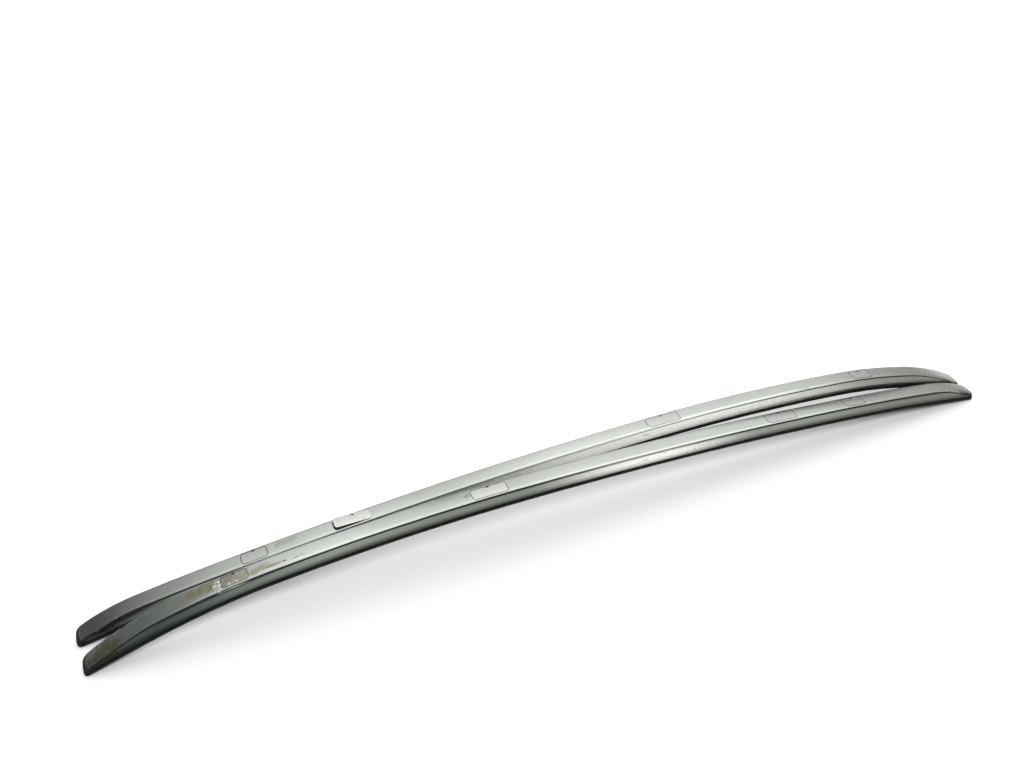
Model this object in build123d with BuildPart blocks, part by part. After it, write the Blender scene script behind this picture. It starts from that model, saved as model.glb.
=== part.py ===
"""Pair of flush roof side rails, left and right, standing on their tips side by side."""

import os
from math import atan2, cos, degrees, hypot, radians, sin, tan

from build123d import *

# Bends of the bar from the front tip to the rear tip, measured along the seat line on the roof
bar_length = 1973.0
nose_run_length = 126.5
nose_run_radius = 4800.0
front_bend_length = 171.0
front_bend_radius = 3585.0
main_bend_radius = 7735.0
rear_bend_length = 462.0
rear_bend_radius = 3900.0
tail_bend_length = 202.0
tail_bend_radius = 1103.0
tail_run_length = 162.5
tail_run_radius = 2500.0

# Section of the bar: the crease is the edge between the sloped outer side and the top face
crease_height = 27.6
crease_inset = 3.9
girth_height = 14.5
base_tuck = 2.2
wall = 2.8
tip_height = 9.5

# Top face, from the crease to the inner wall
edge_angle = 38.0
edge_radius = 14.0
crown_angle = 3.0
crown_width = 23.8
shoulder_radius = 6.0

# Styling groove along the crease
groove_land = 0.3
groove_width = 2.0
groove_depth = 2.0

# Channel inside the bar, open below between two lips, and the solid nose at each end
lip_height = 3.0
solid_nose_length = 34.0

# Outline from above
tip_width = 34.5
flare_length = 150.0
outer_corner_radius = 10.0
inner_corner_radius = 13.0
outline_clearance = 0.6

# Rubber seal under the edge, which stands out a little along the sides and more at the noses
seal_height = 5.0
seal_width = 10.0
seal_side_proud = 0.3
seal_nose_proud = 2.0

# Places of the fixings along the seat line, from the nearer tip
front_screw_setback = 341.5
front_bar_setback = 530.5
rear_bar_setback = 785.5
rear_screw_setback = 299.5

# Snap covers and their windows in the top face
screw_cover_length = 51.0
bar_cover_length = 73.5
window_margin = 0.3
cover_gap = 1.0
cover_corner_radius = 6.0
cover_skirt = 8.5
cover_wall = 1.8
cover_plate = 2.2
notch_length = 7.0
notch_depth = 2.6
leg_width = 8.0
leg_thickness = 1.8
leg_clearance = 2.0
lifted_angle = 5.0
lifted_slip = 0.3

# Mounting feet with their steel bushes and bar inserts
foot_floor = 12.0
foot_wall = 2.6
foot_margin = 2.0
neck_margin = 6.0
bush_bore = 8.5
bush_wall = 1.5
insert_bore = 6.65
insert_wall = 2.4
insert_depth = 8.0
insert_base = 1.5
flange_width = 3.2
flange_height = 1.6
flange_clearance = 1.0
bar_hole_spread = 38.0
fit_clearance = 0.3
seat_clearance = 0.1

# How the two rails lie: gaps between their full widths at the two ends, and the shift along them
gap_at_left = 26.6
gap_at_right = 0.1
right_shift = 5.4

# Spare length of the cutting shapes past the rail
run_out = 12.0
reach = 60.0

main_bend_length = bar_length - nose_run_length - front_bend_length
main_bend_length -= rear_bend_length + tail_bend_length + tail_run_length
bends = [
    (nose_run_radius, nose_run_length),
    (front_bend_radius, front_bend_length),
    (main_bend_radius, main_bend_length),
    (rear_bend_radius, rear_bend_length),
    (tail_bend_radius, tail_bend_length),
    (tail_run_radius, tail_run_length),
]


def walk(station, heading):
    """Place and heading at a station along the bends, for a start at the origin."""
    x = z = 0.0
    for radius, length in bends:
        run = min(station, length)
        turned = heading - run / radius
        x += radius * (sin(heading) - sin(turned))
        z += radius * (cos(turned) - cos(heading))
        heading = turned
        station -= run
    return x, z, heading


chord_x, chord_z, _ = walk(bar_length, 0.0)
front_heading = -atan2(chord_z, chord_x)
rail_length = hypot(chord_x, chord_z)


def station_plane(station, height=0.0):
    """Plane on the seat line: X along the rail to the rear, Y inboard, Z square to the roof."""
    x, z, heading = walk(station, front_heading)
    along = (cos(heading), 0, sin(heading))
    up = (-sin(heading), 0, cos(heading))
    return Plane(origin=(x, 0, z), x_dir=along, z_dir=up).offset(height)


def section_plane(line):
    """Plane square to the start of a line, X inboard and Y up."""
    return Plane(origin=line @ 0, x_dir=(0, 1, 0), z_dir=line % 0)


def drop_arc(plane, tip):
    """Radius and turn of the arc that leaves a plane's origin along its X and ends at a tip."""
    chord = tip - plane.origin
    fall = -chord.dot(plane.z_dir)
    along = abs(chord.dot(plane.x_dir))
    return chord.length**2 / (2 * fall), 2 * degrees(atan2(fall, along))


# Seat line: the roof under the rail, seen from the side
with BuildLine(Plane.XZ) as seat:
    front_way = station_plane(0).x_dir
    arc = Line(-run_out * front_way, Vector(0, 0, 0))
    for radius, length in bends:
        arc = JernArc(arc @ 1, arc % 1, radius, -degrees(length / radius))
    Line(arc @ 1, arc @ 1 + run_out * (arc % 1))
seat_line = seat.wire()

# Crease line: follows the seat in the middle and drops by an arc to each tip
nose_plane = station_plane(nose_run_length, crease_height)
tail_plane = station_plane(bar_length - tail_run_length, crease_height)
nose_tip = Vector(0, 0, tip_height)
nose_drop_radius, nose_drop_turn = drop_arc(nose_plane, nose_tip)
tail_drop_radius, tail_drop_turn = drop_arc(tail_plane, Vector(rail_length, 0, tip_height))
nose_way = nose_plane.x_dir.rotate(Axis.Y, -nose_drop_turn)
with BuildLine(Plane.XZ) as crease:
    Line(nose_tip - run_out * nose_way, nose_tip)
    arc = JernArc(nose_tip, nose_way, nose_drop_radius, -nose_drop_turn)
    for radius, length in bends[1:-1]:
        arc = JernArc(arc @ 1, arc % 1, radius + crease_height, -degrees(length / radius))
    arc = JernArc(arc @ 1, arc % 1, tail_drop_radius, -tail_drop_turn)
    Line(arc @ 1, arc @ 1 + run_out * (arc % 1))
crease_line = crease.wire()

# Top face section: edge round from the crease, flat crown, shoulder, inner wall
with BuildSketch() as crown_section:
    with BuildLine():
        edge_slope = tan(radians(edge_angle))
        crease_corner = (crease_inset, 0)
        edge_run = Line((-reach, -edge_slope * (reach + crease_inset)), crease_corner)
        edge = JernArc(crease_corner, edge_run % 1, edge_radius, crown_angle - edge_angle)
        crown = TangentArc(edge @ 1, (edge @ 1) + Vector(crown_width, 0), tangent=edge % 1)
        shoulder = JernArc(crown @ 1, crown % 1, shoulder_radius, crown_angle - 90)
        crown_rise = (edge @ 1).Y
        crown_end = (crown @ 1).X
        rail_width = (shoulder @ 1).X
        Polyline(shoulder @ 1, (rail_width, -2 * reach), (-reach, -2 * reach), edge_run @ 0)
    make_face()


def rail_outline(nose_proud=0.0, side_proud=0.0):
    """Outline from above: blunt noses with rounded corners, the inner edge drawn in towards them."""
    front_end = -nose_proud
    rear_end = rail_length + nose_proud
    outer_edge = -outline_clearance - side_proud
    inner_edge = rail_width + outline_clearance + side_proud
    nose_edge = tip_width + side_proud
    with BuildSketch() as outline:
        with BuildLine():
            outer = Line((front_end, outer_edge), (rear_end, outer_edge))
            rear_nose = Line(outer @ 1, (rear_end, nose_edge))
            inner = Line((rail_length - flare_length, inner_edge), (flare_length, inner_edge))
            TangentArc(inner @ 0, rear_nose @ 1, tangent=(1, 0))
            front_flare = TangentArc(inner @ 1, (front_end, nose_edge), tangent=(-1, 0))
            Line(front_flare @ 1, outer @ 0)
        make_face()
        fillet(outline.vertices().group_by(Axis.Y)[0], outer_corner_radius + side_proud)
        noses = outline.edges().filter_by(Axis.Y)
        fillet(noses.vertices().group_by(Axis.Y)[-1], inner_corner_radius + side_proud)
    return outline.sketch


outline = rail_outline()


def under_crown(sunk=0.0):
    """All that lies under the top face, or under a face sunk below it."""
    with BuildPart() as solid:
        with BuildSketch(section_plane(crease_line)):
            with Locations((0, -sunk)):
                add(crown_section.sketch)
        sweep(path=crease_line)
    return solid.part


crown_body = under_crown()
web_body = under_crown(wall)
groove_body = under_crown(groove_depth)

# Sizes that follow from the ones above
sky = crease_height + reach
side_slope = crease_inset / (crease_height - girth_height)
lip_top = seal_height + lip_height
bush_diameter = bush_bore + 2 * bush_wall
insert_diameter = insert_bore + 2 * insert_wall
flange_diameter = max(bush_diameter, insert_diameter) + 2 * flange_width
neck_width = max(bush_diameter, insert_diameter) + 2 * foot_wall
slot_width = neck_width + 2 * fit_clearance
slot_middle = rail_width / 2
chamber_edge = crease_inset + groove_land + groove_width + wall
chamber_end = rail_width - wall
window_width = crown_end - chamber_edge - 2 * window_margin
window_middle = (chamber_edge + crown_end) / 2
rim_height = crease_height - cover_skirt

# Name, station and cover length of each fixing, and whether a roof bar is clamped there
fixings = [
    ("front_screw", front_screw_setback, screw_cover_length, False),
    ("front_bar", front_bar_setback, bar_cover_length, True),
    ("rear_bar", bar_length - rear_bar_setback, bar_cover_length, True),
    ("rear_screw", bar_length - rear_screw_setback, screw_cover_length, False),
]

# Channel inside the bar: a chamber over two lips, and the slot between them
with BuildPart() as channel:
    with BuildSketch(section_plane(seat_line)):
        with BuildLine():
            slot_edge = slot_middle - slot_width / 2
            slot_end = slot_middle + slot_width / 2
            Polyline(
                (slot_edge, -reach),
                (slot_edge, lip_top),
                (base_tuck + wall, lip_top),
                (wall, girth_height),
                (wall + crease_inset / 2, crease_height - 2 * wall),
                (chamber_edge, crease_height - wall),
                (chamber_edge, sky),
                (chamber_end, sky),
                (chamber_end, lip_top),
                (slot_end, lip_top),
                (slot_end, -reach),
                close=True,
            )
        make_face()
    sweep(path=seat_line)
    add(web_body, mode=Mode.INTERSECT)
    with BuildSketch(Plane.XY.offset(-reach)):
        add(outline)
        offset(amount=-wall, mode=Mode.REPLACE)
        with Locations((rail_length / 2, rail_width / 2)):
            Rectangle(rail_length - 2 * solid_nose_length, 2 * rail_width, mode=Mode.INTERSECT)
    extrude(amount=bar_length, mode=Mode.INTERSECT)

# Groove along the crease: both its walls follow the outer side, running out at the noses
with BuildPart() as groove:
    with BuildSketch(section_plane(seat_line)):
        with BuildLine():
            walls = []
            for shift in (groove_land, groove_land + groove_width):
                upper = Line((shift, girth_height), (shift + side_slope * (sky - girth_height), sky))
                lower = TangentArc(upper @ 0, (shift + base_tuck, seal_height), tangent=-(upper % 0))
                walls.append((upper @ 1, lower @ 1))
            for land_end, inner_end in zip(*walls):
                Line(land_end, inner_end)
        make_face()
    sweep(path=seat_line)
    add(groove_body, mode=Mode.SUBTRACT)


def window_outline(length, inset):
    """Rounded oblong of a window, or of what fits inside it."""
    with BuildSketch() as oblong:
        with Locations((0, window_middle)):
            RectangleRounded(length - 2 * inset, window_width - 2 * inset, cover_corner_radius - inset)
    return oblong.sketch


with BuildPart() as rail:
    with BuildSketch(section_plane(seat_line)):
        with BuildLine():
            base_edge = (base_tuck, seal_height)
            side = Line((0, girth_height), (side_slope * (sky - girth_height), sky))
            Polyline(side @ 1, (2 * rail_width, sky), (2 * rail_width, seal_height), base_edge)
            TangentArc(side @ 0, base_edge, tangent=-(side % 0))
        make_face()
    sweep(path=seat_line)
    add(crown_body, mode=Mode.INTERSECT)
    with BuildSketch(Plane.XY.offset(-reach)):
        add(outline)
    extrude(amount=bar_length, mode=Mode.INTERSECT)
    add(channel.part, mode=Mode.SUBTRACT)
    add(groove.part, mode=Mode.SUBTRACT)
    for name, station, length, takes_bar in fixings:
        with BuildSketch(station_plane(station, rim_height)):
            add(window_outline(length, 0))
        extrude(amount=reach, mode=Mode.SUBTRACT)

with BuildPart() as base_seal:
    with BuildSketch(section_plane(seat_line)):
        with Locations((rail_width / 2, (seal_height - seat_clearance) / 2)):
            Rectangle(2 * rail_width, seal_height - seat_clearance)
    sweep(path=seat_line)
    with BuildSketch(Plane.XY.offset(-reach)):
        add(rail_outline(seal_nose_proud, seal_side_proud))
        add(offset(outline, amount=-seal_width, mode=Mode.PRIVATE), mode=Mode.SUBTRACT)
    extrude(amount=bar_length, mode=Mode.INTERSECT)


def make_cover(station, length):
    """Snap cover: crowned plate, skirt that stands on the foot, two legs and a pry notch."""
    rim = station_plane(station, rim_height)
    plate_height = cover_skirt + crown_rise - cover_plate
    leg_x = length / 2 - cover_gap - cover_wall - leg_thickness / 2
    with BuildPart() as cover:
        with BuildSketch(rim):
            add(window_outline(length, cover_gap))
        extrude(amount=reach)
        add(crown_body, mode=Mode.INTERSECT)
        with BuildSketch(rim):
            add(window_outline(length, cover_gap + cover_wall))
        extrude(amount=plate_height, mode=Mode.SUBTRACT)
        with BuildSketch(rim.offset(plate_height)):
            with Locations((-leg_x, slot_middle), (leg_x, slot_middle)):
                Rectangle(leg_thickness, leg_width)
        extrude(amount=foot_floor + leg_clearance - rim_height - plate_height)
        with BuildSketch(rim):
            with Locations((0, window_middle + window_width / 2 - cover_gap)):
                SlotOverall(notch_length, 2 * notch_depth)
        extrude(amount=reach, mode=Mode.SUBTRACT)
    return cover.part


def make_foot(station, length, holes):
    """Moulded foot: a tray that rests on the channel's lips and a neck that stands on the roof."""
    ground = station_plane(station)
    tray_bottom = lip_top + seat_clearance
    pocket_width = flange_diameter + 2 * flange_clearance
    pocket_length = length - 2 * cover_gap - cover_wall
    tray_edge = slot_middle - pocket_width / 2 - foot_wall
    tray_end = chamber_end - fit_clearance
    with BuildPart() as foot:
        with BuildSketch(ground.offset(tray_bottom)):
            with Locations((0, (tray_edge + tray_end) / 2)):
                RectangleRounded(length + 2 * foot_margin, tray_end - tray_edge, cover_corner_radius)
        extrude(amount=rim_height - seat_clearance - tray_bottom)
        with BuildSketch(ground.offset(foot_floor)):
            with Locations((0, slot_middle)):
                RectangleRounded(pocket_length, pocket_width, cover_corner_radius)
        extrude(amount=reach, mode=Mode.SUBTRACT)
        with BuildSketch(ground):
            with Locations((0, slot_middle)):
                RectangleRounded(length - 2 * neck_margin, neck_width, foot_wall)
        extrude(amount=foot_floor)
        for hole_x, hole_diameter, hole_depth in holes:
            with BuildSketch(ground.offset(foot_floor)):
                with Locations((hole_x, slot_middle)):
                    Circle(hole_diameter / 2 + seat_clearance)
            extrude(amount=-hole_depth, mode=Mode.SUBTRACT)
    return foot.part


def make_flanged(station, x, diameter, depth, bore, bore_depth):
    """Flanged steel sleeve let into the foot's floor, bored from above."""
    floor = station_plane(station, foot_floor)
    with BuildPart() as sleeve:
        for circle, length in ((diameter, -depth), (flange_diameter, flange_height)):
            with BuildSketch(floor):
                with Locations((x, slot_middle)):
                    Circle(circle / 2)
            extrude(amount=length)
        with BuildSketch(floor.offset(flange_height)):
            with Locations((x, slot_middle)):
                Circle(bore / 2)
        extrude(amount=-bore_depth, mode=Mode.SUBTRACT)
    return sleeve.part


pieces = {"rail": rail.part, "base_seal": base_seal.part}
for name, station, length, takes_bar in fixings:
    bush_x = -bar_hole_spread / 2 if takes_bar else 0.0
    insert_x = bar_hole_spread / 2
    bush_bore_depth = foot_floor + flange_height
    insert_bore_depth = insert_depth + flange_height - insert_base
    holes = [(bush_x, bush_diameter, foot_floor)]
    if takes_bar:
        holes.append((insert_x, insert_diameter, insert_depth + seat_clearance))
        pieces[f"{name}_insert"] = make_flanged(
            station, insert_x, insert_diameter, insert_depth, insert_bore, insert_bore_depth
        )
    pieces[f"{name}_bush"] = make_flanged(
        station, bush_x, bush_diameter, foot_floor, bush_bore, bush_bore_depth
    )
    pieces[f"{name}_foot"] = make_foot(station, length, holes)
    pieces[f"{name}_cover"] = make_cover(station, length)

# The left rail's front bar cover has sprung up at its front end, about its rear edge, and slipped forward
cover_rim = station_plane(front_bar_setback, rim_height)
rear_edge = cover_rim.from_local_coords((bar_cover_length / 2 - cover_gap, 0, 0))
lifted_cover = pieces["front_bar_cover"].rotate(Axis(rear_edge, (0, 1, 0)), lifted_angle)
lifted_cover = lifted_cover.moved(Location(-lifted_slip * cover_rim.x_dir))
left_pieces = {**pieces, "front_bar_cover": lifted_cover}

# The right rail is the mirror image, so it lies the other way round; the two close up to the right
full_width = rail_width + 2 * outline_clearance + 2 * seal_side_proud
splay = degrees(atan2(gap_at_left - gap_at_right, rail_length))
right_place = Location((right_shift, -full_width - gap_at_left, 0), (0, 0, splay))
right_place *= Location((rail_length, 0, 0))
right_pieces = {name: mirror(piece, about=Plane.YZ).moved(right_place) for name, piece in pieces.items()}

# The origin is the middle of the pair at floor level
box = left_pieces["base_seal"].bounding_box().add(right_pieces["base_seal"].bounding_box())
to_origin = Location((-box.center().X, -box.center().Y, -box.min.Z))
os.makedirs("parts", exist_ok=True)
for hand, hand_pieces in (("left", left_pieces), ("right", right_pieces)):
    for name, piece in hand_pieces.items():
        placed = piece.moved(to_origin)
        placed.label = f"{hand}_{name}"
        export_step(placed, f"parts/{placed.label}.step")
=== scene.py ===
import math

import bpy
import numpy
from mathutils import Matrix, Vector

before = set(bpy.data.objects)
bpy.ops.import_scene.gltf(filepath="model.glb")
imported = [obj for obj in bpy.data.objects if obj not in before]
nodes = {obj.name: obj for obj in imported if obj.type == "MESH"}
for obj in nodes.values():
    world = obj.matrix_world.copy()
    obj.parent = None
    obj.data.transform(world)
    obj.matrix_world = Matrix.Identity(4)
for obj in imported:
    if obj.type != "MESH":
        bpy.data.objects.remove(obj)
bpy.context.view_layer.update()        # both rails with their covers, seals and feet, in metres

print("frame loaded:", len(nodes), "nodes")


# small helpers for node trees

def newMaterial(name):
    material = bpy.data.materials.new(name)
    material.use_nodes = True
    tree = material.node_tree
    shader = tree.nodes["Principled BSDF"]
    return material, tree, shader


def addNode(tree, kind, **settings):
    node = tree.nodes.new(kind)
    for key, value in settings.items():
        setattr(node, key, value)
    return node


def plug(tree, source, target):
    if hasattr(source, "is_output"):
        tree.links.new(source, target)
    else:
        target.default_value = source


def doMath(tree, operation, first, second=0.0, third=0.0):
    node = addNode(tree, "ShaderNodeMath", operation=operation)
    for socket, value in zip(node.inputs, (first, second, third)):
        plug(tree, value, socket)
    return node.outputs[0]


def times(tree, first, second):
    return doMath(tree, "MULTIPLY", first, second)


def larger(tree, first, second):
    return doMath(tree, "MAXIMUM", first, second)


# 1 less a share of the amount
def without(tree, amount, share=1.0):
    return doMath(tree, "MULTIPLY_ADD", amount, -share, 1.0)


# a polynomial, with its highest power first
def poly(tree, factors, value):
    total = float(factors[0])
    for factor in factors[1:]:
        total = doMath(tree, "MULTIPLY_ADD", total, value, float(factor))
    return total


def vectorMath(tree, operation, first, second=None):
    node = addNode(tree, "ShaderNodeVectorMath", operation=operation)
    plug(tree, first, node.inputs[0])
    if second is not None:
        plug(tree, second, node.inputs["Scale" if operation == "SCALE" else 1])
    return node.outputs["Value" if operation in ("DOT_PRODUCT", "LENGTH") else "Vector"]


def ramp(tree, value, start, end, low=0.0, high=1.0):
    node = addNode(tree, "ShaderNodeMapRange", interpolation_type="SMOOTHSTEP")
    plug(tree, value, node.inputs["Value"])
    for key, number in (("From Min", start), ("From Max", end), ("To Min", low), ("To Max", high)):
        node.inputs[key].default_value = number
    return node.outputs["Result"]


def mixColour(tree, amount, first, second, blend="MIX"):
    node = addNode(tree, "ShaderNodeMix", data_type="RGBA", blend_type=blend)
    plug(tree, amount, node.inputs["Factor"])
    plug(tree, first, node.inputs["A"])
    plug(tree, second, node.inputs["B"])
    return node.outputs["Result"]


def shade(tree, amount, colour, tint):
    return mixColour(tree, amount, colour, tint, "MULTIPLY")


def noise(tree, place, scale, detail=3.0, stretch=(1, 1, 1)):
    mapping = addNode(tree, "ShaderNodeMapping")
    mapping.inputs["Scale"].default_value = stretch
    plug(tree, place, mapping.inputs["Vector"])
    node = addNode(tree, "ShaderNodeTexNoise")
    node.inputs["Scale"].default_value = scale
    node.inputs["Detail"].default_value = detail
    plug(tree, mapping.outputs["Vector"], node.inputs["Vector"])
    return node.outputs["Fac"]


def objectPlace(tree):
    return addNode(tree, "ShaderNodeTexCoord").outputs["Object"]


def split(tree, vector):
    node = addNode(tree, "ShaderNodeSeparateXYZ")
    plug(tree, vector, node.inputs[0])
    return node.outputs


def facing(tree):
    return split(tree, addNode(tree, "ShaderNodeTexCoord").outputs["Normal"])


def shadingNormal(tree):
    return addNode(tree, "ShaderNodeNewGeometry").outputs["Normal"]


# how far a point lies in a narrow gap, from 0 in the open to 1 deep inside
def crevice(tree, reach, start=0.96, end=0.68):
    node = addNode(tree, "ShaderNodeAmbientOcclusion", samples=12)
    node.inputs["Distance"].default_value = reach
    return ramp(tree, node.outputs["AO"], start, end)


# how near a point lies to a sharp edge, from 0 to 1
def edgeRim(tree, reach, start=0.995, end=0.93):
    bevel = addNode(tree, "ShaderNodeBevel", samples=4)
    bevel.inputs["Radius"].default_value = reach
    turned = vectorMath(tree, "DOT_PRODUCT", bevel.outputs["Normal"], shadingNormal(tree))
    return ramp(tree, turned, start, end)


# a ragged patch round one place
def patch(tree, place, centre, size, ragged=0.4, grain=70.0, soft=0.5, tilt=0.0):
    mapping = addNode(tree, "ShaderNodeMapping", vector_type="TEXTURE")
    mapping.inputs["Location"].default_value = centre
    mapping.inputs["Rotation"].default_value = (0, 0, math.radians(tilt))
    mapping.inputs["Scale"].default_value = size
    plug(tree, place, mapping.inputs["Vector"])
    length = vectorMath(tree, "LENGTH", mapping.outputs["Vector"])
    cloud = noise(tree, place, grain, detail=4.0)
    reach = doMath(tree, "MULTIPLY_ADD", cloud, 2 * ragged, length)
    return ramp(tree, reach, 1.0 + ragged, 1.0 + ragged - soft)


# the line of a rail, and the even shading of its top

topShading = {
    "archOrder": 6,
    "overSeal": 0.010,         # the top is what lies higher than this over the seal
    "topNormal": 0.9,          # and faces up by this much
    "slopeOrder": 11,
    "stray": 0.02,
    "rounds": 3,
    "lean": (0.20, 0.12),      # a normal that leans more than the first isn't evened, less than the second is
    "upward": (0.60, 0.75),
}


def cornersOf(name):
    return numpy.array([corner.co for corner in nodes[name].data.vertices])


# side view and plan of a rail, fitted to the corners of its seal
def railLine(hand):
    corners = cornersOf(hand + "_base_seal")
    arch = numpy.polyfit(corners[:, 0], corners[:, 2], topShading["archOrder"])
    sway = numpy.polyfit(corners[:, 0], corners[:, 1], 1)[0]
    return arch, float(sway)


# height over the middle of the seal
def heightOverSeal(tree, place, hand):
    arch, _ = railLine(hand)
    along, _, height = split(tree, place)
    return doMath(tree, "SUBTRACT", height, poly(tree, arch, along))


# slope of the top along a rail, fitted to the mesh's own normals
def topSlope(hand):
    mesh = nodes[hand + "_rail"].data
    arch, sway = railLine(hand)
    corners = numpy.array([mesh.vertices[loop.vertex_index].co for loop in mesh.loops])
    normals = numpy.array([normal.vector for normal in mesh.corner_normals])
    height = corners[:, 2] - numpy.polyval(arch, corners[:, 0])
    top = (normals[:, 2] > topShading["topNormal"]) & (height > topShading["overSeal"])
    along = corners[top, 0]
    slope = -(normals[top, 0] + sway * normals[top, 1]) / normals[top, 2]
    for _ in range(topShading["rounds"]):
        fit = numpy.polyfit(along, slope, topShading["slopeOrder"])
        keep = numpy.abs(slope - numpy.polyval(fit, along)) < topShading["stray"]
        along, slope = along[keep], slope[keep]
    return fit, sway


# normal for the shader: the tops take the even slope of the whole bar, so that no bend shows as a step
def evenNormal(tree, place, hand):
    fit, sway = topSlope(hand)
    tangent = addNode(tree, "ShaderNodeCombineXYZ")
    tangent.inputs["X"].default_value = 1.0
    tangent.inputs["Y"].default_value = sway
    plug(tree, poly(tree, fit, split(tree, place)["X"]), tangent.inputs["Z"])
    unit = vectorMath(tree, "NORMALIZE", tangent.outputs["Vector"])
    normal = shadingNormal(tree)
    lean = vectorMath(tree, "DOT_PRODUCT", normal, unit)
    small = ramp(tree, doMath(tree, "ABSOLUTE", lean), *topShading["lean"])
    upward = ramp(tree, split(tree, normal)["Z"], *topShading["upward"])
    lift = vectorMath(tree, "SCALE", unit, times(tree, times(tree, small, upward), lean))
    return vectorMath(tree, "NORMALIZE", vectorMath(tree, "SUBTRACT", normal, lift))


# satin metal of the bars; pairs of numbers say where something starts and where it is full

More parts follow.
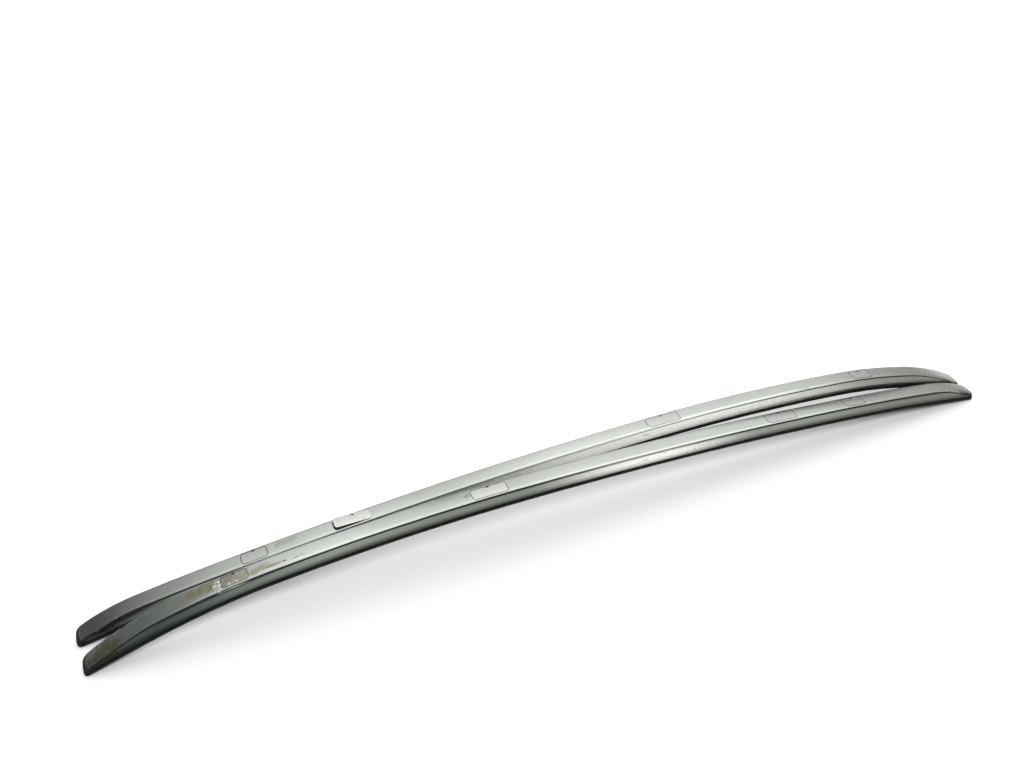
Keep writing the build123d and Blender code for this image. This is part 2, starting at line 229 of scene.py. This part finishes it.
railFinish = {
    "metal": (0.465, 0.485, 0.455, 1),
    "dull": (0.425, 0.443, 0.415, 1),
    "cloudScale": 14.0,
    "cloudStretch": (0.35, 1, 1),
    "cloud": (0.42, 0.68),
    "grainScale": 900.0,
    "grainStretch": (0.06, 1, 1),
    "grain": (0.3, 0.7),
    "rough": (0.26, 0.28),                        # least and most
    # painted shade on the sloped sides
    "side": {"left": (0.80, 0.81, 0.78, 1), "right": (0.58, 0.595, 0.575, 1)},
    "sideTurn": (-0.55, -0.85),
    "low": {"left": (0.58, 0.585, 0.56, 1), "right": (0.30, 0.305, 0.29, 1)},     # painted shade low on the side
    "lowHeight": (0.0175, 0.0075),
    "line": {"left": (0.85, 0.85, 0.83, 1), "right": (0.45, 0.45, 0.44, 1)},      # and under the crease
    "lineHeight": (0.0230, 0.0246),
    "sideHighlight": {"left": (0.97, 0.98, 0.94, 1), "right": (0.90, 0.91, 0.86, 1)},    # painted highlight on the side round one place
    "sideHighlightCentre": 0.14,
    "sideHighlightWidth": {"left": 0.65, "right": 0.28},
    "sideHighlightMetal": {"left": 0.10, "right": 0.45},
    "sideHighlightLow": {"left": 0.7, "right": 0.2},     # share of the low painted shade that is taken away there
    "sideHighlightGroove": 0.55,                         # and of the painted shade in the groove
    # painted shade at the left ends, with a lighter top there on the right rail
    "leftEnd": {"left": (-0.70, -0.86), "right": (-0.48, -0.85)},
    "leftEndTop": {"left": (0.78, 0.79, 0.82, 1), "right": (1.10, 1.15, 1.17, 1)},
    "leftEndSide": {"left": (0.42, 0.44, 0.44, 1), "right": (0.19, 0.20, 0.205, 1)},
    "shoulder": (0.30, 0.30, 0.30, 1),            # painted shade on the inner shoulder at the left tips
    "shoulderTurn": (0.12, 0.42),
    # painted shade on the sides towards the right ends
    "rightEnd": (0.50, 0.85),
    "rightEndSide": (0.66, 0.66, 0.64, 1),
    "rightTopShade": (0.45, 0.84),                      # painted shade: a darker, less metallic top towards the right tips
    "rightTopShadeTint": (0.62, 0.615, 0.60, 1),
    "rightTopShadeMetal": 0.40,
    # dark colour for the painted shade in the groove and gaps, partly dirt, and for the black round the noses
    "dirt": (0.010, 0.010, 0.009, 1),
    "gapReach": 0.004,
    "landTurn": (-0.50, -0.54),                   # the narrow land of the groove, painted dark over its glint
    "landUp": (0.36, 0.50),
    "paleGap": {"centre": (-0.695, -0.031, 0.11), "size": (0.040, 0.03, 0.05), "ragged": 0.1},
    "paleGapShare": 0.65,
    "noseRim": {-1: (0.0070, 0.0045), 1: (0.0030, 0.0012)},      # black round the left and right noses
    "noseLength": 0.02,
    "noseRound": 18.0,
    "chipped": "right",
    "chips": {
        "centre": (-0.7210, -0.0330, 0.106),
        "size": (0.0120, 0.017, 0.02),
        "ragged": 0.6,
        "grain": 200.0,
    },
    "chipColour": (0.8, 0.8, 0.76, 1),
    "flakeScale": 300.0,
    "flakeStretch": (1.6, 0.8, 1),
    "flakes": (0.49, 0.56),
    "marks": {            # place, size, tint, ragged, softness, tilt
        "left": [
            # painted shade: a broad darker stretch of the tops
            ((-0.27, 0.03, 0.12), (0.24, 0.2, 0.2), (0.80, 0.815, 0.80, 1), 0.2, 1.0, 0),
            ((-0.585, 0.041, 0.092), (0.036, 0.008, 0.02), (0.80, 0.80, 0.78, 1), 1.2, 0.5, 4),
            ((0.154, 0.0166, 0.131), (0.009, 0.02, 0.0012), (0.45, 0.45, 0.43, 1), 0.6, 0.5, 0),
            # painted shade over the far right tip
            ((0.965, 0.0100, 0.025), (0.065, 0.060, 0.06), (0.66, 0.65, 0.63, 1), 0.1, 1.0, 0),
        ],
        "right": [
            # painted shade: a broad darker stretch of the top
            ((-0.27, -0.03, 0.12), (0.26, 0.2, 0.2), (0.78, 0.795, 0.78, 1), 0.2, 1.0, 0),
            # painted shade: a darker inner edge of the top
            ((-0.285, -0.0140, 0.140), (0.085, 0.0160, 0.05), (0.74, 0.75, 0.74, 1), 0.2, 1.2, 0),
            ((-0.762, -0.0285, 0.100), (0.064, 0.0190, 0.05), (0.76, 0.68, 0.50, 1), 0.5, 1.0, 0),
            ((-0.724, -0.0315, 0.105), (0.022, 0.0150, 0.03), (0.78, 0.71, 0.54, 1), 0.6, 0.8, 0),
            ((-0.745, -0.0225, 0.102), (0.030, 0.0080, 0.05), (0.84, 0.80, 0.70, 1), 1.2, 0.6, 4),
            ((-0.648, -0.0315, 0.118), (0.034, 0.0105, 0.03), (0.72, 0.66, 0.52, 1), 1.0, 0.6, 4),
            ((-0.620, -0.0335, 0.121), (0.028, 0.0045, 0.03), (0.66, 0.62, 0.50, 1), 0.6, 0.6, 4),
            ((-0.600, -0.0328, 0.123), (0.0045, 0.0035, 0.02), (0.25, 0.24, 0.20, 1), 0.8, 0.5, 0),
            ((-0.577, -0.0335, 0.125), (0.010, 0.0010, 0.02), (0.40, 0.40, 0.38, 1), 0.5, 0.5, 20),
            ((-0.567, -0.0325, 0.126), (0.007, 0.0010, 0.02), (0.40, 0.40, 0.38, 1), 0.5, 0.5, -35),
            ((-0.928, -0.043, 0.038), (0.048, 0.022, 0.04), (0.74, 0.66, 0.50, 1), 1.0, 0.5, 0),
            ((-0.247, -0.0185, 0.141), (0.009, 0.0009, 0.02), (0.62, 0.62, 0.60, 1), 0.5, 0.5, 70),
            ((-0.249, -0.0205, 0.141), (0.008, 0.0009, 0.02), (0.62, 0.62, 0.60, 1), 0.5, 0.5, -20),
            ((-0.245, -0.0195, 0.141), (0.010, 0.0065, 0.02), (0.84, 0.84, 0.82, 1), 1.4, 0.5, 0),
            ((0.124, -0.0384, 0.1205), (0.010, 0.02, 0.0012), (0.45, 0.45, 0.43, 1), 0.6, 0.5, 0),
            ((0.955, -0.030, 0.03), (0.03, 0.02, 0.04), (0.86, 0.82, 0.70, 1), 0.4, 0.5, 0),
            # painted shade over the near right and near left tips
            ((0.965, -0.0300, 0.025), (0.050, 0.060, 0.06), (0.76, 0.75, 0.72, 1), 0.1, 1.0, 0),
            ((-0.970, -0.0400, 0.016), (0.036, 0.040, 0.04), (0.60, 0.58, 0.55, 1), 0.1, 0.9, 0),
        ],
    },
}


# black rim round the blunt nose at one end, -1 for the left and 1 for the right
def noseRim(tree, place, hand, end):
    corners = cornersOf(hand + "_rail")
    tip = (corners[:, 0] * end).max()
    nose = corners[corners[:, 0] * end > tip - railFinish["noseLength"], 1]
    along, across, _ = split(tree, place)
    off = doMath(tree, "SUBTRACT", across, float(nose.min() + nose.max()) / 2)
    inward = doMath(tree, "MULTIPLY_ADD", along, -end, float(tip))
    bow = times(tree, times(tree, off, off), railFinish["noseRound"])
    return ramp(tree, doMath(tree, "SUBTRACT", inward, bow), *railFinish["noseRim"][end])


def satinMetal(hand):
    material, tree, shader = newMaterial(hand + "SatinMetal")
    place = objectPlace(tree)
    along = split(tree, place)["X"]
    normal = facing(tree)

    cloud = noise(tree, place, railFinish["cloudScale"], detail=4.0, stretch=railFinish["cloudStretch"])
    cloud = ramp(tree, cloud, *railFinish["cloud"])
    colour = mixColour(tree, cloud, railFinish["metal"], railFinish["dull"])

    # painted shade on the sloped side, a painted highlight round one place, and more painted shade low down
    # and under the crease
    side = ramp(tree, normal["Y"], *railFinish["sideTurn"])
    colour = shade(tree, side, colour, railFinish["side"][hand])
    off = doMath(tree, "ABSOLUTE", doMath(tree, "SUBTRACT", along, railFinish["sideHighlightCentre"]))
    bright = ramp(tree, off, railFinish["sideHighlightWidth"][hand], 0.0)
    sideHighlight = times(tree, side, bright)
    colour = mixColour(tree, sideHighlight, colour, railFinish["sideHighlight"][hand])
    height = heightOverSeal(tree, place, hand)
    shadedSide = doMath(tree, "MULTIPLY_ADD", sideHighlight, -railFinish["sideHighlightLow"][hand], side)
    for key in ("low", "line"):
        paintedShade = ramp(tree, height, *railFinish[key + "Height"])
        colour = shade(tree, times(tree, shadedSide, paintedShade), colour, railFinish[key][hand])

    # painted light and shade at the two ends, and painted shade on the inner shoulder at the left tips
    leftEnd = ramp(tree, along, *railFinish["leftEnd"][hand])
    colour = shade(tree, leftEnd, colour, railFinish["leftEndTop"][hand])
    colour = shade(tree, times(tree, leftEnd, side), colour, railFinish["leftEndSide"][hand])
    rightEnd = ramp(tree, along, *railFinish["rightEnd"])
    colour = shade(tree, times(tree, rightEnd, side), colour, railFinish["rightEndSide"])
    rightTopShade = times(tree, ramp(tree, along, *railFinish["rightTopShade"]), without(tree, side))
    colour = shade(tree, rightTopShade, colour, railFinish["rightTopShadeTint"])
    shoulder = times(tree, leftEnd, ramp(tree, normal["Y"], *railFinish["shoulderTurn"]))
    colour = shade(tree, shoulder, colour, railFinish["shoulder"])

    for centre, size, tint, ragged, soft, tilt in railFinish["marks"][hand]:
        mark = patch(tree, place, centre, size, ragged, soft=soft, tilt=tilt)
        colour = shade(tree, mark, colour, tint)

    # painted shade in the groove, on its narrow land and in the gaps round the covers, partly dirt, and black
    # round the noses
    land = times(tree, ramp(tree, normal["Y"], *railFinish["landTurn"]),
                 ramp(tree, normal["Z"], *railFinish["landUp"]))
    gap = larger(tree, land, crevice(tree, railFinish["gapReach"]))
    gap = times(tree, gap, without(tree, bright, railFinish["sideHighlightGroove"]))
    pale = patch(tree, place, **railFinish["paleGap"])
    gap = times(tree, gap, without(tree, pale, railFinish["paleGapShare"]))
    for end in railFinish["noseRim"]:
        gap = larger(tree, gap, noseRim(tree, place, hand, end))
    colour = mixColour(tree, gap, colour, railFinish["dirt"])

    solid = doMath(tree, "MULTIPLY_ADD", sideHighlight, railFinish["sideHighlightMetal"][hand] - 1, without(tree, gap))
    solid = doMath(tree, "MULTIPLY_ADD", rightTopShade, railFinish["rightTopShadeMetal"] - 1, solid)
    if hand == railFinish["chipped"]:
        flakes = noise(tree, place, railFinish["flakeScale"], stretch=railFinish["flakeStretch"])
        flakes = ramp(tree, flakes, *railFinish["flakes"])
        chips = times(tree, patch(tree, place, **railFinish["chips"]), flakes)
        colour = mixColour(tree, chips, colour, railFinish["chipColour"])
        solid = doMath(tree, "SUBTRACT", solid, chips)

    plug(tree, colour, shader.inputs["Base Color"])
    plug(tree, solid, shader.inputs["Metallic"])
    grain = noise(tree, place, railFinish["grainScale"], detail=2.0, stretch=railFinish["grainStretch"])
    rough = ramp(tree, grain, *railFinish["grain"], *railFinish["rough"])
    plug(tree, larger(tree, rough, gap), shader.inputs["Roughness"])
    plug(tree, evenNormal(tree, place, hand), shader.inputs["Normal"])
    return material


# painted covers

coverFinish = {
    "paint": (0.465, 0.482, 0.46, 1),
    "dull": (0.43, 0.445, 0.425, 1),
    "cloudScale": 60.0,
    "roughness": 0.27,
    "moulding": (0.012, 0.012, 0.012, 1),
    "topTurn": (0.3, 0.6),                        # where the paint starts and is full
    "gapReach": 0.003,
    "gapShadeShare": {"right_rear_screw_cover": 0.4},    # share of the painted shade in the gap, all of it on the others
    "rim": 0.0012,
    # painted shade along the cover rims
    "rimShade": {
        "left_front_screw_cover": 0.9,
        "left_front_bar_cover": 0.15,
        "right_rear_screw_cover": 0.1,
    },
    "otherRimShade": 0.35,
    "tints": {
        "left_front_bar_cover": (1.16, 1.12, 1.12, 1),
        "right_rear_screw_cover": (0.74, 0.70, 0.56, 1),
        # painted shade on the two covers at the right tips
        "left_rear_screw_cover": (0.76, 0.755, 0.74, 1),
        "right_front_screw_cover": (0.76, 0.755, 0.74, 1),
    },
    "filmScale": 90.0,
    "film": (0.25, 0.55),
    # those two covers are also less metallic, with the same painted shade
    "metal": {"left_rear_screw_cover": 0.55, "right_front_screw_cover": 0.55},
    # painted shade in the pull notch of the lifted cover
    "notchShade": {"left_front_bar_cover": ((-0.4535, 0.0446, 0.109), (0.0042, 0.0016, 0.02))},
    "specks": {
        "right_rear_screw_cover": [((-0.702, -0.038, 0.1075), 0.003), ((-0.688, -0.0385, 0.110), 0.0025)],
    },
    "speck": (0.8, 0.8, 0.76, 1),
    "speckRagged": 0.5,
    "speckGrain": 300.0,
    "speckDepth": 3,
    "lifted": "left_front_bar_cover",             # keeps its own shading, since it stands off the bar
}


def coverPaint(name, hand):
    material, tree, shader = newMaterial(name + "_paint")
    place = objectPlace(tree)
    cloud = noise(tree, place, coverFinish["cloudScale"])
    colour = mixColour(tree, cloud, coverFinish["paint"], coverFinish["dull"])
    if name in coverFinish["tints"]:
        film = ramp(tree, noise(tree, place, coverFinish["filmScale"], detail=4.0), *coverFinish["film"])
        colour = shade(tree, film, colour, coverFinish["tints"][name])
    for centre, size in coverFinish["specks"].get(name, []):
        reach = (size, size, size * coverFinish["speckDepth"])
        speck = patch(tree, place, centre, reach, coverFinish["speckRagged"], coverFinish["speckGrain"])
        colour = mixColour(tree, speck, colour, coverFinish["speck"])
    if name in coverFinish["notchShade"]:
        notch = patch(tree, place, *coverFinish["notchShade"][name])
        colour = mixColour(tree, notch, colour, coverFinish["moulding"])

    # dark moulding below the painted top, and painted shade at its rim and in the gap round it
    top = ramp(tree, facing(tree)["Z"], *coverFinish["topTurn"])
    rimShare = coverFinish["rimShade"].get(name, coverFinish["otherRimShade"])
    rim = times(tree, edgeRim(tree, coverFinish["rim"]), rimShare)
    gapShade = times(tree, crevice(tree, coverFinish["gapReach"]), coverFinish["gapShadeShare"].get(name, 1.0))
    painted = times(tree, top, without(tree, larger(tree, rim, gapShade)))
    solid = times(tree, painted, coverFinish["metal"].get(name, 1.0))
    plug(tree, mixColour(tree, painted, coverFinish["moulding"], colour), shader.inputs["Base Color"])
    plug(tree, solid, shader.inputs["Metallic"])
    shader.inputs["Roughness"].default_value = coverFinish["roughness"]
    if name != coverFinish["lifted"]:
        plug(tree, evenNormal(tree, place, hand), shader.inputs["Normal"])
    return material


# rubber of the seals

sealFinish = {
    "rubber": (0.004, 0.004, 0.004, 1),
    "dust": (0.014, 0.014, 0.013, 1),
    "cloudScale": 40.0,
    "cloud": (0.45, 0.75),
    "dirt": (0.010, 0.014, 0.004, 1),
    "dirtPlace": (-0.671, -0.0523, 0.087),
    "dirtSize": (0.016, 0.02, 0.02),
    "roughness": 0.8,
    "sheen": 0.25,
}


def sealRubber():
    material, tree, shader = newMaterial("sealRubber")
    place = objectPlace(tree)
    cloud = ramp(tree, noise(tree, place, sealFinish["cloudScale"], detail=5.0), *sealFinish["cloud"])
    colour = mixColour(tree, cloud, sealFinish["rubber"], sealFinish["dust"])
    dirt = patch(tree, place, sealFinish["dirtPlace"], sealFinish["dirtSize"])
    plug(tree, mixColour(tree, dirt, colour, sealFinish["dirt"]), shader.inputs["Base Color"])
    shader.inputs["Roughness"].default_value = sealFinish["roughness"]
    shader.inputs["Specular IOR Level"].default_value = sealFinish["sheen"]
    return material


# moulded feet and plated steel under the covers

footFinish = {
    "colour": (0.02, 0.02, 0.021, 1),
    "worn": (0.04, 0.04, 0.04, 1),
    "cloudScale": 300.0,
    "metal": 0.0,
    "roughness": 0.55,
}
steelFinish = {
    "colour": (0.55, 0.55, 0.53, 1),
    "worn": (0.42, 0.41, 0.38, 1),
    "cloudScale": 200.0,
    "metal": 1.0,
    "roughness": 0.4,
}


def cloudedFinish(name, finish):
    material, tree, shader = newMaterial(name)
    cloud = noise(tree, objectPlace(tree), finish["cloudScale"], detail=4.0)
    plug(tree, mixColour(tree, cloud, finish["colour"], finish["worn"]), shader.inputs["Base Color"])
    shader.inputs["Metallic"].default_value = finish["metal"]
    shader.inputs["Roughness"].default_value = finish["roughness"]
    return material


finishes = {
    "seal": sealRubber(),
    "foot": cloudedFinish("footPlastic", footFinish),
    "bush": cloudedFinish("platedSteel", steelFinish),
}
finishes["insert"] = finishes["bush"]
for name, piece in nodes.items():
    hand, kind = name.split("_", 1)[0], name.rsplit("_", 1)[1]
    if kind == "rail":
        finish = satinMetal(hand)
    elif kind == "cover":
        finish = coverPaint(name, hand)
    else:
        finish = finishes[kind]
    piece.data.materials.clear()
    piece.data.materials.append(finish)
print("finishes on:", len(nodes), "nodes")


# floor

floorLook = {"colour": (0.95, 0.95, 0.95, 1), "roughness": 1.0, "sheen": 0.0, "size": 80.0, "drop": 0.0002}


def layFloor():
    half = floorLook["size"] / 2
    mesh = bpy.data.meshes.new("floor")
    corners = [(-half, -half, 0), (half, -half, 0), (half, half, 0), (-half, half, 0)]
    mesh.from_pydata(corners, [], [(0, 1, 2, 3)])
    floor = bpy.data.objects.new("floor", mesh)
    floor.location.z = -floorLook["drop"]
    bpy.context.scene.collection.objects.link(floor)
    material, _, shader = newMaterial("paleFloor")
    shader.inputs["Base Color"].default_value = floorLook["colour"]
    shader.inputs["Roughness"].default_value = floorLook["roughness"]
    shader.inputs["Specular IOR Level"].default_value = floorLook["sheen"]
    mesh.materials.append(material)


layFloor()
print("floor laid")


# light: a dim room with soft bright panels beyond the rails and overhead, and a soft lamp in front

roomLight = {
    "colour": (1, 1, 1, 1),
    "dim": 0.15,
    "panels": [      # direction, angle where it starts to fade, angle where it ends, strength
        ((0.35, 0.62, 0.70), 10, 50, 1.05),
        ((0.15, 0.15, 0.98), 12, 40, 1.1),
        ((0.75, 0.04, 0.66), 8, 30, 0.7),
    ],
    "lampFrom": (0.0, -0.60, 0.80),
    "lampStrength": 1.9,
    "lampSpread": 18.0,
}


def lightRoom():
    world = bpy.data.worlds.new("room")
    bpy.context.scene.world = world
    world.use_nodes = True
    tree = world.node_tree
    background = tree.nodes["Background"]
    background.inputs["Color"].default_value = roomLight["colour"]
    way = addNode(tree, "ShaderNodeTexCoord").outputs["Generated"]
    total = roomLight["dim"]
    for direction, inner, outer, strength in roomLight["panels"]:
        toward = vectorMath(tree, "DOT_PRODUCT", way, Vector(direction).normalized())
        edge, full = (math.cos(math.radians(angle)) for angle in (outer, inner))
        total = doMath(tree, "ADD", total, ramp(tree, toward, edge, full, 0.0, strength))
    plug(tree, total, background.inputs["Strength"])


def hangLamp():
    lamp = bpy.data.lights.new("lamp", "SUN")
    lamp.energy = roomLight["lampStrength"]
    lamp.angle = math.radians(roomLight["lampSpread"])
    holder = bpy.data.objects.new("lamp", lamp)
    holder.rotation_euler = Vector(roomLight["lampFrom"]).to_track_quat("Z", "Y").to_euler()
    bpy.context.scene.collection.objects.link(holder)


lightRoom()
hangLamp()
print("light set")


# camera

cameraView = {
    "place": (-0.7233, -1.4207, 1.6142),
    "pitch": 0.6826,
    "turn": -0.3861,
    "focal": 1100.0,       # in pixels of the frame
    "frameWidth": 1024.0,
    "sensor": 36.0,
}


def makeCamera():
    camera = bpy.data.cameras.new("camera")
    camera.sensor_width = cameraView["sensor"]
    camera.lens = cameraView["sensor"] * cameraView["focal"] / cameraView["frameWidth"]
    view = bpy.data.objects.new("camera", camera)
    view.location = cameraView["place"]
    view.rotation_euler = (math.pi / 2 - cameraView["pitch"], 0, cameraView["turn"])
    bpy.context.scene.collection.objects.link(view)
    bpy.context.scene.camera = view


makeCamera()
bpy.context.scene.view_settings.view_transform = "Standard"
print("camera set")
